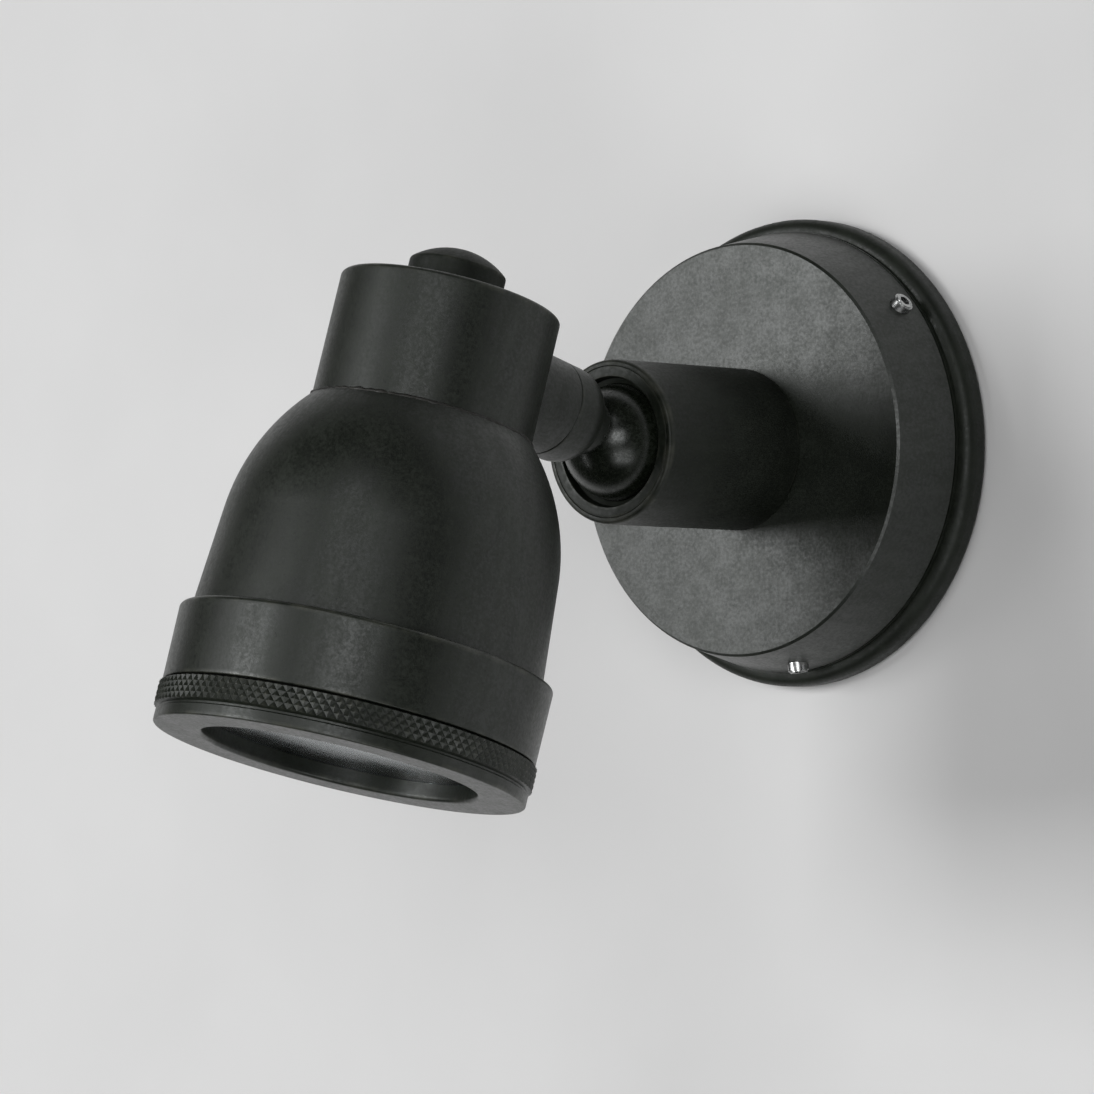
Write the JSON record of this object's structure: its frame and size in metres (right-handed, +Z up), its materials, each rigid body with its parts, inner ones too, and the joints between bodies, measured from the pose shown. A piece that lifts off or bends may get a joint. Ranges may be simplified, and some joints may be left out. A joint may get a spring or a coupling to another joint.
{
  "type": "pivoting spotlight wall light",
  "caption": "Wall spotlight: round canopy, socket housing with ball joint, short stem and a bell-shaped head with a knurled screw-on bezel over glass.",
  "frame": {"origin": "centre of the wall plate's back face, where it meets the wall", "axes": "+Y into the wall, -Y out to the light, +Z up, +X to the right of someone facing the wall"},
  "size_m": [0.09, 0.1567, 0.1143],
  "materials": {
    "dark_metal": "aged dark finish, satin, with worn edges",
    "canopy_metal": "aged grey finish, mottled",
    "bezel_metal": "aged grey finish, brushed face and knurled edge",
    "stainless": "plain stainless steel",
    "brass": "plain brass",
    "seal_rubber": "black silicone",
    "cup_plastic": "natural acetal",
    "block_plastic": "white nylon",
    "ceramic": "white steatite",
    "lens_glass": "clear toughened glass",
    "lamp_glass": "clear glass front of the lamp",
    "lamp_mirror": "metallised glass reflector",
    "lead_sleeve": "silicone sleeve",
    "earth_sleeve": "green and yellow sleeve"
  },
  "bodies": {
    "base": {"wall_plate": "dark_metal", "wall_gasket": "seal_rubber", "earth_washer": "stainless", "earth_tag": "brass", "earth_screw": "stainless", "terminal_block": "block_plastic", "terminal_screws": "brass", "block_screw": "stainless", "supply_leads": "lead_sleeve", "earth_lead": "earth_sleeve", "canopy": "canopy_metal", "grub_screws": "stainless", "socket_housing": "dark_metal", "housing_washer": "stainless", "housing_nut": "stainless", "ball_retaining_ring": "dark_metal", "disc_spring": "stainless"},
    "cup": {"friction_cup": "cup_plastic"},
    "ball": {"swivel_ball": "dark_metal", "stem_nipple": "stainless", "stem_washer": "stainless", "stem_nut": "stainless", "stem_leads": "lead_sleeve"},
    "head": {"head_stub": "dark_metal", "cap": "dark_metal", "top_plug": "dark_metal", "plug_oring": "seal_rubber", "bell": "dark_metal", "rim_band": "dark_metal", "bezel_oring": "seal_rubber", "holder_plate": "stainless", "plate_screws": "stainless", "holder_screws": "stainless", "lampholder": "ceramic", "head_leads": "lead_sleeve", "lamp_base": "ceramic", "lamp_pins": "brass", "lamp_reflector": "lamp_mirror", "lamp_front": "lamp_glass"},
    "lens_pack": {"lens_glass": "lens_glass", "lens_gasket": "seal_rubber"},
    "bezel": {"bezel": "bezel_metal"}
  },
  "joints": [
    {"name": "ball_spin", "type": "hinge", "parent": "base", "child": "cup", "pos_m": [0, -0.053, 0], "axis": [0, -1, 0], "range_deg": [-175, 175]},
    {"name": "ball_tilt", "type": "hinge", "parent": "cup", "child": "ball", "pos_m": [0, -0.053, 0], "axis": [0.9871, 0, -0.1599], "range_deg": [-30.2, 59.8]},
    {"name": "head_turn", "type": "hinge", "parent": "ball", "child": "head", "pos_m": [0, -0.053, 0], "axis": [0.0408, -0.9668, 0.2522], "range_deg": [-160, 160]},
    {"name": "bezel_travel", "type": "slide", "parent": "head", "child": "lens_pack", "axis": [-0.094, -0.255, -0.9624], "range_m": [0, 0.0046]},
    {"name": "bezel_turn", "type": "hinge", "parent": "lens_pack", "child": "bezel", "pos_m": [0.00217, -0.10444, 0.01341], "axis": [-0.094, -0.255, -0.9624], "range_deg": [0, 1080]}
  ],
  "couplings": [
    {"joint": "bezel_travel", "follows": "bezel_turn", "m_per_rad": 0.00023873}
  ]
}
